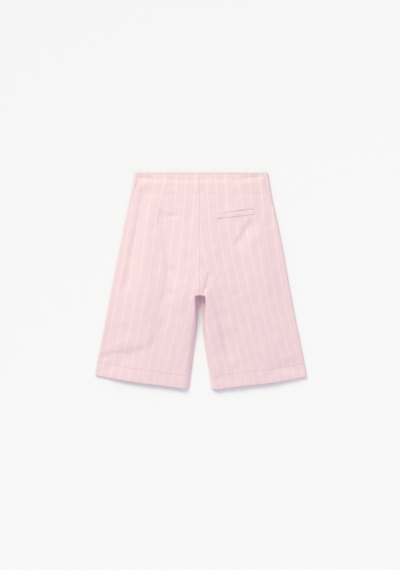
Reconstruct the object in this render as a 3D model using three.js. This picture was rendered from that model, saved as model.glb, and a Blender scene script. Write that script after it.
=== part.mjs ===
import * as THREE from "three";

// Bermuda shorts, laid flat on a table with the back upwards.
// Two back panels lie over two front panels. Each half is a flattened tube of cloth: it starts at the
// centre seams, runs out to the side fold and, below the crotch, closes along the inseam into a leg.
//
// Sizes are millimetres. The drafting frame is the tailor's: x runs across from the centre back seam,
// "down" runs from the back waist edge to the hems, and z is the height above the table.
// The finished group is moved so that its origin is the middle of the footprint, on the table.

// Driving sizes, laid flat
const CLOTH = 1.2; // thickness of the wall
const HEM_CLOTH = 1.9; // the wall where the hem is turned up inside
const HEM_DEPTH = 32;
const SEAM_GAP = 0.3; // between pieces at a seam, and under what lies on a panel
const CROTCH_DOWN = 305.5; // waist to the edge where the legs part
const FRONT_ABOVE_BACK = 2.5; // the front waist edge shows above the back one
const SEAM_FORWARD_DOWN = 140; // above this the side seam lies on top, inside the side fold
const SEAM_FORWARD = 12;

// Each leg: where its hem ends, inner and outer, how far the hem bows downwards, and how far its inner
// corner is cut back
const LEGS = {
  left: { sign: -1, innerDown: 541, outerDown: 504.5, hemBow: 2.8, hemCorner: 11 },
  right: { sign: 1, innerDown: 542.5, outerDown: 508, hemBow: 3.4, hemCorner: 3.5 },
};
const HEM_TILT_FROM = 150; // between these the rows turn from level to the slope of the hem
const HEM_TILT_TO = 480;
const HEM_BOW_AT = 0.64; // share of the width from the inseam
const HEM_BOW_SPREAD = 0.26;
const HEM_CORNER_REACH = 17; // from the inseam
const HEM_CORNER_TURN = 1.7; // 1 is a straight cut, and above it the corner is hollow
const HEM_BOW_FROM = 120; // above the hem, where the rows begin to bow
const HEM_CORNER_FROM = 70; // and where they begin to be cut back

// The side fold, as seen from above: distance from the centre back seam
const SIDE_LINE = [
  { down: 0, left: 164.5, right: 170 },
  { down: 60, left: 175, right: 180 },
  { down: 120, left: 188, right: 193.5 },
  { down: 195, left: 203, right: 208 },
  { down: 270, left: 218, right: 221.5 },
  { down: 345, left: 232, right: 235.5 },
  { down: 420, left: 246.5, right: 250.5 },
  { down: 480, left: 259, right: 263 },
  { down: 510, left: 262, right: 267.5 },
];

// The gap between the legs, as seen from above: a square-topped slot that narrows, then opens to the hems
const INSEAM_LINE = [
  { down: 305.5, left: 0.4, right: 0.4 },
  { down: 306.3, left: 6, right: 6.4 },
  { down: 307.4, left: 8, right: 9.8 },
  { down: 310, left: 9, right: 11.2 },
  { down: 322, left: 8.4, right: 11.2 },
  { down: 342, left: 7.8, right: 11.2 },
  { down: 364, left: 7.6, right: 10.4 },
  { down: 387, left: 8.4, right: 9.8 },
  { down: 417, left: 11.4, right: 11 },
  { down: 442, left: 15, right: 14 },
  { down: 492, left: 20.6, right: 21.8 },
  { down: 545, left: 26, right: 29.6 },
];

// Height of the upper cloth above the table: at the side fold, in the middle of a half, and at the
// centre back or beside the inseam
const LOFT = [
  { down: 0, side: 6.4, middle: 9.4, centre: 9 },
  { down: 80, side: 6.2, middle: 11.2, centre: 12.8 },
  { down: 180, side: 6, middle: 13.2, centre: 18.5 },
  { down: 255, side: 6, middle: 14.4, centre: 23 },
  { down: 300, side: 6, middle: 15, centre: 25.5 },
  { down: 345, side: 6, middle: 14.6, centre: 21.5 },
  { down: 420, side: 6, middle: 12.8, centre: 16 },
  { down: 490, side: 5.8, middle: 10.3, centre: 11.5 },
  { down: 545, side: 5.5, middle: 8.6, centre: 8.6 },
];

// The leg's inner edge stands up from the table like a low wall: how high it is, and how wide a rounded
// bank climbs from there to the upper cloth
const INSEAM_CORNER = 2.9;
const INSEAM_EDGE = [
  { down: 305, height: 24, bank: 4 },
  { down: 318, height: 22.5, bank: 5 },
  { down: 342, height: 18, bank: 7 },
  { down: 364, height: 13, bank: 9 },
  { down: 390, height: 8, bank: 13 },
  { down: 430, height: 5.4, bank: 15 },
  { down: 545, height: 5, bank: 12 },
];

// Soft folds pressed into the upper cloth. Each runs from one point to the other and fades at its ends.
// Its near wall is steep, and the far one, to the left of its run on the plan, is a few times as wide.
const FAR_WALL = 2.2;
const FOLDS = [
  { name: "left thigh, upper", x0: -88, down0: 112, x1: -78, down1: 246, width: 10, depth: 3.2 },
  { name: "left thigh, middle", x0: -76, down0: 234, x1: -88, down1: 298, width: 8, depth: 2 },
  { name: "left thigh, lower", x0: -89, down0: 290, x1: -104, down1: 392, width: 10, depth: 2.2 },
  { name: "left thigh, foot", x0: -101, down0: 384, x1: -134, down1: 436, width: 10, depth: 2.4 },
  { name: "left hem, from the side", x0: -138, down0: 436, x1: -258, down1: 464, width: 8, depth: 2.8 },
  { name: "right seat, from the pocket", x0: 127, down0: 124, x1: 92, down1: 180, width: 7, depth: 2.4 },
  { name: "right thigh, inner", x0: 34, down0: 302, x1: 52, down1: 398, width: 9, depth: 3.6 },
  { name: "right leg, inner", x0: 54, down0: 402, x1: 72, down1: 478, width: 9, depth: 4.4 },
  { name: "right hem, outer", x0: 160, down0: 466, x1: 256, down1: 470, width: 12, depth: 1.8 },
];

// Back pocket: a single welt, sewn over its mouth
const WELT = { x: 88.3, down: 102.2, length: 96, width: 12.5, rise: 0.112, thickness: 1.4 };

// Fly: the strip behind the centre front opening
const FLY = { length: 165, width: 36, belowWaist: 2 };

const FOLD_CLEAR_OF_SIDE = 16; // folds die away before the side fold

const CLOTH_PINK = { color: 0xf2d6d9, roughness: 0.92, metalness: 0 };

// Columns of a panel. Distances run along the cloth from the inner seam and back from the side seam.
const FROM_INNER_SEAM = 1.3;
const TRUNK_CORNER = 3.3; // where the corner's columns lie in the trunk, which has no inner edge
const CORNER_STEPS = 3;
const FROM_CORNER = [0.6, 2.2, 4.4, 7, 10, 14, 19, 28]; // from the corner of the inner edge
const FROM_SIDE = [40, 24, 13, 8, 5.5, 3.6, 1.8];
const MIDDLE_COLUMNS = 5;
const FRONT_FOLD_COLUMNS = 6;
const FRONT_FLAT_COLUMNS = 4;
const FRONT_INNER_COLUMNS = 10; // of those from the inner seam

// Rows of a panel, as distances down the inner seam. They are closest where the ridge drops.
const TRUNK_ROWS = [0, 28, 58, 88, 118, 148, 178, 206, 232, 256, 276, 290, 299, 304.4];
const LEG_ROWS = [305.5, 305.9, 306.3, 306.8, 307.4, 308.4, 310, 314, 322, 332, 342, 352, 362, 374, 388, 404];
const LEG_STEP = 20;

const EPS = 0.25; // step for slopes, in millimetres

const clamp01 = (t) => Math.min(1, Math.max(0, t));
const smooth = (from, to, at) => {
  const t = clamp01((at - from) / (to - from));
  return t * t * (3 - 2 * t);
};
const mix = (a, b, t) => a + (b - a) * t;

// Reads a column of a table at any distance down, on a smooth curve through its rows.
function read(table, down, column) {
  const last = table.length - 1;
  let i = 0;
  while (i < last - 1 && table[i + 1].down < down) i++;
  const slope = (k) => {
    const a = table[Math.max(0, k - 1)];
    const b = table[Math.min(last, k + 1)];
    return (b[column] - a[column]) / (b.down - a.down);
  };
  const [p, q] = [table[i], table[i + 1]];
  const span = q.down - p.down;
  const t = clamp01((down - p.down) / span);
  const [t2, t3] = [t * t, t * t * t];
  return (
    (2 * t3 - 3 * t2 + 1) * p[column] +
    (t3 - 2 * t2 + t) * span * slope(i) +
    (3 * t2 - 2 * t3) * q[column] +
    (t3 - t2) * span * slope(i + 1)
  );
}

// How deep the folds press the cloth at a point.
function foldDepth(x, down) {
  let depth = 0;
  for (const fold of FOLDS) {
    const [ax, ay] = [fold.x1 - fold.x0, fold.down1 - fold.down0];
    const length = Math.hypot(ax, ay);
    const along = ((x - fold.x0) * ax + (down - fold.down0) * ay) / length;
    const aside = ((x - fold.x0) * ay - (down - fold.down0) * ax) / length;
    const end = fold.width * 1.6;
    const fade = smooth(-end, end, along) * (1 - smooth(length - end, length + end, along));
    const reach = aside > 0 ? fold.width * FAR_WALL : fold.width;
    depth += fold.depth * fade * Math.exp(-((aside / reach) ** 2));
  }
  return depth;
}

// One row across a half: its ends on the plan, its width, and the heights of its two edges.
function rowAt(leg, side, down) {
  const isLeg = down >= CROTCH_DOWN;
  const innerAcross = isLeg ? read(INSEAM_LINE, down, side) : 0;
  const tilt = smooth(HEM_TILT_FROM, HEM_TILT_TO, down);
  const outerDown = down - (leg.innerDown - leg.outerDown) * tilt;
  const outerAcross = read(SIDE_LINE, outerDown, side);
  const [dx, dDown] = [outerAcross - innerAcross, outerDown - down];
  const width = Math.hypot(dx, dDown);
  const sideRadius = read(LOFT, down, "side") / 2;
  const sideArc = (Math.PI / 2) * sideRadius;
  const inseamHeight = isLeg ? read(INSEAM_EDGE, down, "height") : 0;
  const inseamRadius = Math.min(INSEAM_CORNER, inseamHeight / 2);
  const inseamWall = inseamHeight / 2 - inseamRadius;
  const inseamArc = inseamWall + (Math.PI / 2) * inseamRadius;
  return {
    leg,
    down,
    innerAcross,
    width,
    ux: dx / width,
    uDown: dDown / width,
    isLeg,
    sideRadius,
    sideArc,
    inseamHeight,
    inseamRadius,
    inseamWall,
    inseamArc,
    shoulder: inseamRadius + read(INSEAM_EDGE, down, "bank"),
    over: inseamArc + (width - inseamRadius - sideRadius) + sideArc, // length of the upper cloth
    seamForward: SEAM_FORWARD * (1 - smooth(0, SEAM_FORWARD_DOWN, down)),
    bow: leg.hemBow * smooth(leg.innerDown - HEM_BOW_FROM, leg.innerDown, down),
    corner: leg.hemCorner * smooth(leg.innerDown - HEM_CORNER_FROM, leg.innerDown, down),
  };
}

// Plan position of a point of a row, in the drafting frame, d millimetres from the inner seam.
function planAt(row, d) {
  const share = d / row.width;
  const bow = row.bow * Math.exp(-(((share - HEM_BOW_AT) / HEM_BOW_SPREAD) ** 2));
  const corner = row.corner * clamp01(1 - d / HEM_CORNER_REACH) ** HEM_CORNER_TURN;
  return {
    x: row.leg.sign * (row.innerAcross + row.ux * d),
    down: row.down + row.uDown * d + bow - corner,
  };
}

// Height of the upper cloth, d millimetres from the inner seam.
function upperHeight(row, d) {
  const at = Math.abs(d);
  const { x, down } = planAt(row, at);
  const share = clamp01((row.innerAcross + at) / (row.innerAcross + row.width));
  const loft = (column) => read(LOFT, row.down, column);
  const level =
    share < 0.5
      ? mix(loft("centre"), loft("middle"), smooth(0, 0.5, share))
      : mix(loft("middle"), loft("side"), smooth(0.5, 1, share) ** 1.6);
  const pressed = level - foldDepth(x, down) * smooth(row.sideRadius, FOLD_CLEAR_OF_SIDE, row.width - at);
  if (!row.isLeg) return pressed;
  const wallTop = row.inseamHeight - row.inseamRadius;
  return wallTop + (pressed - wallTop) * Math.sqrt(1 - (1 - clamp01(at / row.shoulder)) ** 2);
}

// Where the inner edge of a leg is, c along the cloth from mid-height: how far in, and how far above it.
function inseamTurn(row, c) {
  const { inseamWall, inseamRadius } = row;
  if (c < inseamWall) return { d: 0, rise: c };
  const angle = (c - inseamWall) / inseamRadius;
  return { d: inseamRadius * (1 - Math.cos(angle)), rise: inseamWall + inseamRadius * Math.sin(angle) };
}

// A point of a row's outer surface. c runs along the cloth from the inner seam over the top, round the
// side fold and back along the table. Below the crotch the cloth also rounds at the inseam.
function ringPoint(row, c) {
  const { over, sideRadius, sideArc, inseamRadius, inseamWall, inseamArc, inseamHeight, width } = row;
  if (c > over) return underPoint(row, 2 * over - c);
  if (c < 0) {
    if (row.isLeg) return underPoint(row, -c);
    const mirrored = ringPoint(row, -c);
    return new THREE.Vector3(-mirrored.x, mirrored.y, mirrored.z);
  }
  let d;
  let z;
  if (c < inseamArc) {
    d = inseamTurn(row, c).d;
    z = c < inseamWall ? inseamHeight / 2 + c : upperHeight(row, d);
  } else if (over - c < sideArc) {
    const angle = (over - c) / sideRadius;
    d = width - sideRadius * (1 - Math.cos(angle));
    z = (upperHeight(row, width - sideRadius) / 2) * (1 + Math.sin(angle));
  } else {
    d = inseamRadius + (c - inseamArc);
    z = upperHeight(row, d);
  }
  return placed(row, d, z);
}

// The same row on the table side, b millimetres along the cloth from the inner seam.
function underPoint(row, b) {
  const { over, sideRadius, sideArc, inseamRadius, inseamArc, inseamHeight, width } = row;
  if (b < 0) {
    if (row.isLeg) return ringPoint(row, -b);
    const mirrored = underPoint(row, -b);
    return new THREE.Vector3(-mirrored.x, mirrored.y, mirrored.z);
  }
  if (b < inseamArc) {
    const turn = inseamTurn(row, b);
    return placed(row, turn.d, inseamHeight / 2 - turn.rise);
  }
  if (over - b < sideArc) {
    const angle = (over - b) / sideRadius;
    const fold = upperHeight(row, width - sideRadius) / 2;
    return placed(row, width - sideRadius * (1 - Math.cos(angle)), fold * (1 - Math.sin(angle)));
  }
  return placed(row, inseamRadius + (b - inseamArc), 0);
}

function placed(row, d, z) {
  const { x, down } = planAt(row, d);
  return new THREE.Vector3(x, -down, z);
}

// Outward normal of the outer surface. Slopes are taken on one side of the crotch, where the tube splits.
function ringNormal(leg, side, down, c) {
  const row = rowAt(leg, side, down);
  const isLeg = down >= CROTCH_DOWN;
  const back = isLeg ? Math.max(down - EPS, CROTCH_DOWN) : down - EPS;
  const on = isLeg ? down + EPS : Math.min(down + EPS, CROTCH_DOWN - EPS / 10);
  const across = ringPoint(row, c + EPS).sub(ringPoint(row, c - EPS));
  const rowBack = rowAt(leg, side, back);
  const rowOn = rowAt(leg, side, on);
  const along = ringPoint(rowOn, (c / row.over) * rowOn.over).sub(
    ringPoint(rowBack, (c / row.over) * rowBack.over),
  );
  const normal = new THREE.Vector3().crossVectors(along, across).normalize();
  return leg.sign > 0 ? normal : normal.negate();
}

function rowsOf(leg, above) {
  const rows = [...above, ...TRUNK_ROWS, ...LEG_ROWS];
  const from = LEG_ROWS.at(-1);
  const hemLine = leg.innerDown - HEM_DEPTH;
  const steps = Math.round((hemLine - from) / LEG_STEP);
  for (let i = 1; i <= steps; i++) rows.push(mix(from, hemLine, i / steps));
  return [...rows, hemLine + 1.5, hemLine + HEM_DEPTH / 2, leg.innerDown];
}

// The wall's thickness: the hem is turned up inside, so its band is thicker.
const wallAt = (leg, down) => (down > leg.innerDown - HEM_DEPTH + 1 ? HEM_CLOTH : CLOTH);

// A closed wall between two equal grids of points, outer and inner.
function wallBetween(outer, inner) {
  const [rows, columns] = [outer.length, outer[0].length];
  const points = [...outer.flat(), ...inner.flat()];
  const at = (r, k) => r * columns + k;
  const under = rows * columns;
  const faces = [];
  const quad = (a, b, c, d) => faces.push(a, b, c, a, c, d);
  for (let r = 0; r + 1 < rows; r++) {
    for (let k = 0; k + 1 < columns; k++) {
      const [a, b, c, d] = [at(r, k), at(r + 1, k), at(r + 1, k + 1), at(r, k + 1)];
      quad(a, b, c, d);
      quad(d + under, c + under, b + under, a + under);
    }
  }
  const rim = [];
  for (let k = 0; k < columns; k++) rim.push(at(0, k));
  for (let r = 1; r < rows; r++) rim.push(at(r, columns - 1));
  for (let k = columns - 2; k >= 0; k--) rim.push(at(rows - 1, k));
  for (let r = rows - 2; r > 0; r--) rim.push(at(r, 0));
  rim.forEach((a, i) => {
    const b = rim[(i + 1) % rim.length];
    quad(a, b, b + under, a + under);
  });
  return closedGeometry(points, faces);
}

// Turns the faces outwards, whichever way round the grid was made.
function closedGeometry(points, faces) {
  let volume = 0;
  for (let i = 0; i < faces.length; i += 3) {
    const [a, b, c] = [points[faces[i]], points[faces[i + 1]], points[faces[i + 2]]];
    volume += a.dot(new THREE.Vector3().crossVectors(b, c)) / 6;
  }
  if (volume < 0) {
    for (let i = 0; i < faces.length; i += 3) [faces[i + 1], faces[i + 2]] = [faces[i + 2], faces[i + 1]];
  }
  const geometry = new THREE.BufferGeometry();
  geometry.setAttribute("position", new THREE.Float32BufferAttribute(points.flatMap((p) => p.toArray()), 3));
  geometry.setIndex(faces);
  geometry.computeVertexNormals();
  return geometry;
}

// A panel: rows of outer points at the given distances along the cloth, and the wall behind them.
function panel(leg, side, columnsOf, above) {
  const outer = [];
  const inner = [];
  for (const down of rowsOf(leg, above)) {
    const row = rowAt(leg, side, down);
    const wall = wallAt(leg, down);
    const outerRow = [];
    const innerRow = [];
    for (const c of columnsOf(row)) {
      const point = ringPoint(row, c);
      outerRow.push(point);
      innerRow.push(point.clone().addScaledVector(ringNormal(leg, side, down, c), -wall));
    }
    outer.push(outerRow);
    inner.push(innerRow);
  }
  return wallBetween(outer, inner);
}

// Distances from the inner seam: up the wall of the inner edge, round its corner and on. The trunk has
// no such edge, so there they close up towards the centre seam.
function innerColumns(row) {
  const corner = Math.max(row.inseamArc, TRUNK_CORNER);
  const cornerFrom = Math.max(row.inseamWall, FROM_INNER_SEAM);
  const turn = [];
  for (let i = 0; i <= CORNER_STEPS; i++) turn.push(mix(cornerFrom, corner, i / CORNER_STEPS));
  return [SEAM_GAP / 2, ...turn, ...FROM_CORNER.map((s) => corner + s)];
}

function backColumns(row) {
  const seam = row.over - row.seamForward;
  const inner = innerColumns(row);
  const [from, to] = [inner.at(-1), seam - FROM_SIDE[0]];
  const middle = [];
  for (let i = 1; i <= MIDDLE_COLUMNS; i++) middle.push(mix(from, to, i / (MIDDLE_COLUMNS + 1)));
  return [...inner, ...middle, ...FROM_SIDE.map((s) => seam - s), seam - SEAM_GAP / 2];
}

function frontColumns(row) {
  const half = SEAM_GAP / 2;
  const seam = row.over - row.seamForward;
  const flatFrom = row.over + row.sideArc;
  const inner = innerColumns(row).slice(0, FRONT_INNER_COLUMNS);
  const flatTo = 2 * row.over - inner.at(-1);
  const columns = [];
  for (let i = 0; i < FRONT_FOLD_COLUMNS; i++) {
    columns.push(mix(seam + half, flatFrom, i / FRONT_FOLD_COLUMNS));
  }
  for (let i = 0; i < FRONT_FLAT_COLUMNS; i++) {
    columns.push(mix(flatFrom, flatTo, i / FRONT_FLAT_COLUMNS));
  }
  return [...columns, ...inner.reverse().map((s) => 2 * row.over - s)];
}

// The back pocket's welt: a strip cut to the cloth under it, lying just clear of it.
function weltGeometry() {
  const { x, down, length, width, rise, thickness } = WELT;
  const { right } = LEGS;
  const steps = { along: 10, across: 3 };
  const tilt = Math.atan(rise);
  const outer = [];
  const inner = [];
  for (let i = 0; i <= steps.along; i++) {
    const outerRow = [];
    const innerRow = [];
    for (let k = 0; k <= steps.across; k++) {
      const [u, v] = [length * (i / steps.along - 0.5), width * (k / steps.across - 0.5)];
      const px = x + u * Math.cos(tilt) + v * Math.sin(tilt);
      const pDown = down - u * Math.sin(tilt) + v * Math.cos(tilt);
      const row = rowAt(right, "right", pDown);
      const c = (px - row.innerAcross) / row.ux;
      const base = ringPoint(row, c);
      const normal = ringNormal(right, "right", pDown, c);
      innerRow.push(base.clone().addScaledVector(normal, SEAM_GAP));
      outerRow.push(base.clone().addScaledVector(normal, SEAM_GAP + thickness));
    }
    outer.push(outerRow);
    inner.push(innerRow);
  }
  return wallBetween(outer, inner);
}

// The fly's strip lies inside, along the centre front.
function flyGeometry() {
  const shape = new THREE.Shape();
  const [half, round] = [FLY.width / 2, FLY.width / 3];
  shape.moveTo(-half, 0);
  shape.lineTo(-half, -FLY.length + round);
  shape.quadraticCurveTo(-half, -FLY.length, -half + round, -FLY.length);
  shape.lineTo(half, -FLY.length);
  shape.lineTo(half, 0);
  shape.closePath();
  const strip = new THREE.ExtrudeGeometry(shape, { depth: CLOTH, bevelEnabled: false, curveSegments: 4 });
  return strip.translate(0, -FLY.belowWaist, CLOTH + SEAM_GAP);
}

const shorts = new THREE.Group();
const pieces = {
  back_left: panel(LEGS.left, "left", backColumns, []),
  back_right: panel(LEGS.right, "right", backColumns, []),
  front_left: panel(LEGS.left, "left", frontColumns, [-FRONT_ABOVE_BACK]),
  front_right: panel(LEGS.right, "right", frontColumns, [-FRONT_ABOVE_BACK]),
  back_pocket_welt: weltGeometry(),
  fly_strip: flyGeometry(),
};
for (const [name, geometry] of Object.entries(pieces)) {
  const mesh = new THREE.Mesh(geometry, new THREE.MeshStandardMaterial(CLOTH_PINK));
  mesh.name = name;
  shorts.add(mesh);
}

// The origin is the middle of the footprint, on the table.
const footprint = new THREE.Box3().setFromObject(shorts);
const middle = footprint.getCenter(new THREE.Vector3());
shorts.position.set(-middle.x, -middle.y, 0);

export default shorts;
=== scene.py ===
import math
import bpy
import numpy as np
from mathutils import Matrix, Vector


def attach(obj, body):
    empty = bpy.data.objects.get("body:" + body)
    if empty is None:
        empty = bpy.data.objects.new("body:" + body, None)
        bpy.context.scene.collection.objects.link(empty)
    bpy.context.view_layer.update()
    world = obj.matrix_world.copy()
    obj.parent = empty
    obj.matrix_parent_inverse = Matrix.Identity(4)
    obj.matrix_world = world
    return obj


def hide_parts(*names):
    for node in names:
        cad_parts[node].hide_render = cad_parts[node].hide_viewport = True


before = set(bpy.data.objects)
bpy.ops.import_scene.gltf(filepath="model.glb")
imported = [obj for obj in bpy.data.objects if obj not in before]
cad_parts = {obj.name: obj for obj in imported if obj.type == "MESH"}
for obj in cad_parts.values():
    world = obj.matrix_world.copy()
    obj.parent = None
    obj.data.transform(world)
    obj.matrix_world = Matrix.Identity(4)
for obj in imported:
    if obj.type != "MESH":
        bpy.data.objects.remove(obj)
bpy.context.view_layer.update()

# The table and the light
# The shorts lie on a pale, matt sheet. The light is soft and comes from beyond the waist, a little
# from the left, and the camera looks straight down on the back of the garment.
MM = 0.001
PIXEL = 2.5 * MM  # one pixel of the picture, on the cloth
PICTURE_HEIGHT = 570
CENTRE_BACK_X = -2.85 * MM  # the centre back seam, across from the origin
WAIST_Y = 268.9 * MM  # the back waist edge, up from the origin
PICTURE_CENTRE = (0.5 * MM, -279.3 * MM)  # from the centre back of the waist edge
CLOTH_LEVEL = 10 * MM
LENS_MM = 85
SENSOR_MM = 36
WINDOW_AT = (-1.5, 2.85, 2.4)
WINDOW_SIZE = 1.8
WINDOW_WATTS = 93
WINDOW_COLOUR = (0.95, 1.0, 0.72)
ROOM_COLOUR = (0.918, 0.892, 1.0)
ROOM_STRENGTH = 0.86
TABLE_SIZE = 9.0
TABLE_WHITE = (0.85, 0.85, 0.85)
WINDOW_SHARE = (0.302, 0.318, 0.234)  # of the light at the garment's middle

camera_data = bpy.data.cameras.new("camera")
camera_data.lens = LENS_MM
camera_data.sensor_width = SENSOR_MM
camera_data.clip_end = 30
camera = bpy.data.objects.new("camera", camera_data)
bpy.context.collection.objects.link(camera)
camera.location = (
    CENTRE_BACK_X + PICTURE_CENTRE[0],
    WAIST_Y + PICTURE_CENTRE[1],
    CLOTH_LEVEL + PIXEL * PICTURE_HEIGHT * LENS_MM / SENSOR_MM,
)
bpy.context.scene.camera = camera

window_data = bpy.data.lights.new("window", "AREA")
window_data.shape = "DISK"
window_data.size = WINDOW_SIZE
window_data.energy = WINDOW_WATTS
window_data.color = WINDOW_COLOUR
window = bpy.data.objects.new("window", window_data)
bpy.context.collection.objects.link(window)
window.location = WINDOW_AT
window.rotation_euler = Vector(WINDOW_AT).to_track_quat("Z", "Y").to_euler()

world = bpy.data.worlds.new("studio")
bpy.context.scene.world = world
world.use_nodes = True
world.node_tree.nodes["Background"].inputs["Color"].default_value = (*ROOM_COLOUR, 1)
world.node_tree.nodes["Background"].inputs["Strength"].default_value = ROOM_STRENGTH
bpy.context.scene.view_settings.view_transform = "Standard"


class Nodes:
    """Shader nodes of one material, made and linked in one call each."""

    def __init__(self, name):
        self.material = bpy.data.materials.new(name)
        self.material.use_nodes = True
        self.tree = self.material.node_tree
        self.shader = self.tree.nodes["Principled BSDF"]

    def add(self, kind, settings=None, **inputs):
        node = self.tree.nodes.new(kind)
        for key, value in (settings or {}).items():
            setattr(node, key, value)
        for key, value in inputs.items():
            socket = node.inputs[int(key[1:])] if key[0] == "i" and key[1:].isdigit() else node.inputs[key]
            self.feed(socket, value)
        return node.outputs

    def feed(self, socket, value):
        if isinstance(value, bpy.types.NodeSocket):
            self.tree.links.new(value, socket)
        else:
            socket.default_value = value

    def math(self, operation, a, b=0.0, clamp=False):
        return self.add("ShaderNodeMath", {"operation": operation, "use_clamp": clamp}, i0=a, i1=b)[0]

    def vector(self, operation, a, b, c=(0, 0, 0)):
        return self.add("ShaderNodeVectorMath", {"operation": operation}, i0=a, i1=b, i2=c)

    def ramp(self, value, low, high, to_low=0.0, to_high=1.0):
        settings = {"interpolation_type": "SMOOTHSTEP"}
        inputs = {"i0": value, "i1": low, "i2": high, "i3": to_low, "i4": to_high}
        return self.add("ShaderNodeMapRange", settings, **inputs)[0]

    def mix(self, share, a, b, blend="MIX"):
        node = self.tree.nodes.new("ShaderNodeMix")
        node.data_type = "RGBA"
        node.blend_type = blend
        self.feed(node.inputs[0], share)
        self.feed(node.inputs[6], a if isinstance(a, bpy.types.NodeSocket) else (*a, 1))
        self.feed(node.inputs[7], b if isinstance(b, bpy.types.NodeSocket) else (*b, 1))
        return node.outputs[2]

    def noise(self, vector, across, along, detail=2.0, rough=0.5):
        """Noise with its own scale across and along."""
        settings = {"vector_type": "POINT"}
        place = self.add("ShaderNodeMapping", settings, Vector=vector, Scale=(across, along, 1))[0]
        inputs = {"Vector": place, "Scale": 1.0, "Detail": detail, "Roughness": rough}
        return self.add("ShaderNodeTexNoise", None, **inputs)[0]


# The sheet's tone is graded against the window's fall-off, so that it looks even from edge to edge.
FALL_OFF = 3.0  # the power of the distance, with the slant of the light
sheet = Nodes("table_sheet")
sheet.shader.inputs["Roughness"].default_value = 0.95
sheet.shader.inputs["Specular IOR Level"].default_value = 0.1
place = sheet.add("ShaderNodeTexCoord")["Object"]
distance = sheet.vector("DISTANCE", place, WINDOW_AT)["Value"]
near = sheet.math("POWER", sheet.math("DIVIDE", Vector(WINDOW_AT).length, distance), FALL_OFF)
room_share = tuple(1 - share for share in WINDOW_SHARE)
light_here = sheet.vector("MULTIPLY_ADD", near, WINDOW_SHARE, room_share)["Vector"]
sheet.feed(sheet.shader.inputs["Base Color"], sheet.vector("DIVIDE", TABLE_WHITE, light_here)["Vector"])
reach = TABLE_SIZE / 2
table_mesh = bpy.data.meshes.new("table")
table_corners = [(-reach, -reach, 0), (reach, -reach, 0), (reach, reach, 0), (-reach, reach, 0)]
table_mesh.from_pydata(table_corners, [], [(0, 1, 2, 3)])
table_mesh.materials.append(sheet.material)
table = bpy.data.objects.new("table", table_mesh)
bpy.context.collection.objects.link(table)


# The cloth and how it lies
# One light linen-like cloth is cut into all the panels. Each half of the garment is a flattened tube:
# from the centre back, or the inseam, over the top to the side fold and back along the table.
# Lengths in this section are millimetres, "down" from the back waist edge and x from the centre back.
CROTCH_DOWN = 305.5
FRONT_ABOVE_BACK = 1.4  # how much of the front's waist edge shows
SEAM_FORWARD = 12  # the side seam lies this far in from the fold at the waist
SEAM_FORWARD_DOWN = 140  # and reaches the fold at
SEAM_GAP = 0.14
CLOTH_THICK = 0.8
HEM_DEPTH = 32
HEM_THICK = 1.7

LEGS = {
    "left": {"sign": -1, "inner_down": 541, "outer_down": 504.5, "hem_bow": 2.8},
    "right": {"sign": 1, "inner_down": 542.5, "outer_down": 508, "hem_bow": 3.4},
}
HEM_TILT = (150, 480)  # rows turn from level to the hem's slant between these
HEM_BOW_AT, HEM_BOW_SPREAD = 0.64, 0.26  # of the leg's width
HEM_BOW_FROM = 120  # above the hem
HEM_CORNER = {"left": 11, "right": 3.5}  # the inner corner of the hem is cut back by
HEM_CORNER_REACH = 17
HEM_CORNER_FROM = 70  # above the hem
HEM_CORNER_TURN = 1.7

# The side fold: down, left, right
SIDE_LINE = [
    (0, 164.5, 170), (60, 175, 180), (120, 188, 193.5), (195, 203, 208), (270, 218, 221.5),
    (345, 232, 235.5), (420, 246.5, 250.5), (480, 259, 263), (510, 262, 267.5),
]
# The gap between the legs, a square-topped slot that narrows, then opens: down, left, right
INSEAM_LINE = [
    (305.5, 0.4, 0.4), (306.3, 6, 6.4), (307.4, 8, 9.8), (310, 9, 11.2), (322, 8.4, 11.2), (342, 7.8, 11.2),
    (364, 7.6, 10.4), (387, 8.4, 9.8), (417, 11.4, 11), (442, 15, 14), (492, 20.6, 21.8), (545, 26, 29.6),
]
# Height of the upper cloth: down, side, middle, centre
LOFT = [
    (0, 6.4, 9.4, 9), (80, 6.2, 11.2, 12.8), (180, 6, 13.2, 18.5), (255, 6, 14.4, 23), (300, 6, 15, 25.5),
    (345, 6, 14.6, 21.5), (420, 6, 12.8, 16), (490, 5.8, 10.2, 11.4), (545, 5.4, 8.2, 8.2),
]
# The leg's inner edge stands like a low wall, and a rounded bank climbs from it: down, height, its width
INSEAM_EDGE = [
    (305, 24, 4), (318, 22.5, 5), (342, 18, 7), (364, 13, 9), (390, 8, 13), (430, 5.2, 15), (545, 4.6, 12),
]
SHOULDER = {"left": (0.5, 0.92), "right": (0.5, 0.7)}  # from round, at the crotch, to sloping, at the hem
SHOULDER_TURNS = (325, 400)  # from the one to the other
INSEAM_CORNER = 2.9  # the radius of the bend at the top and the foot of that wall
# Under the crotch the fronts' cloth spreads into the gap along the table: down, left, right
INNER_LEAN = [
    (305.5, 0, 0), (306.3, 5.8, 6.2), (307.4, 7.9, 9.6), (311, 8.8, 11), (322, 8.2, 11), (336, 7.4, 10.4),
    (344, 6, 8.4), (352, 3.8, 6.4), (366, 2, 4.6), (390, 1, 3.2), (412, 0.4, 1.8), (440, 0, 0), (545, 0, 0),
]
LEAN_HEIGHT = (3.2, 1.7)  # it leaves the wall at, and thins to
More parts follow.
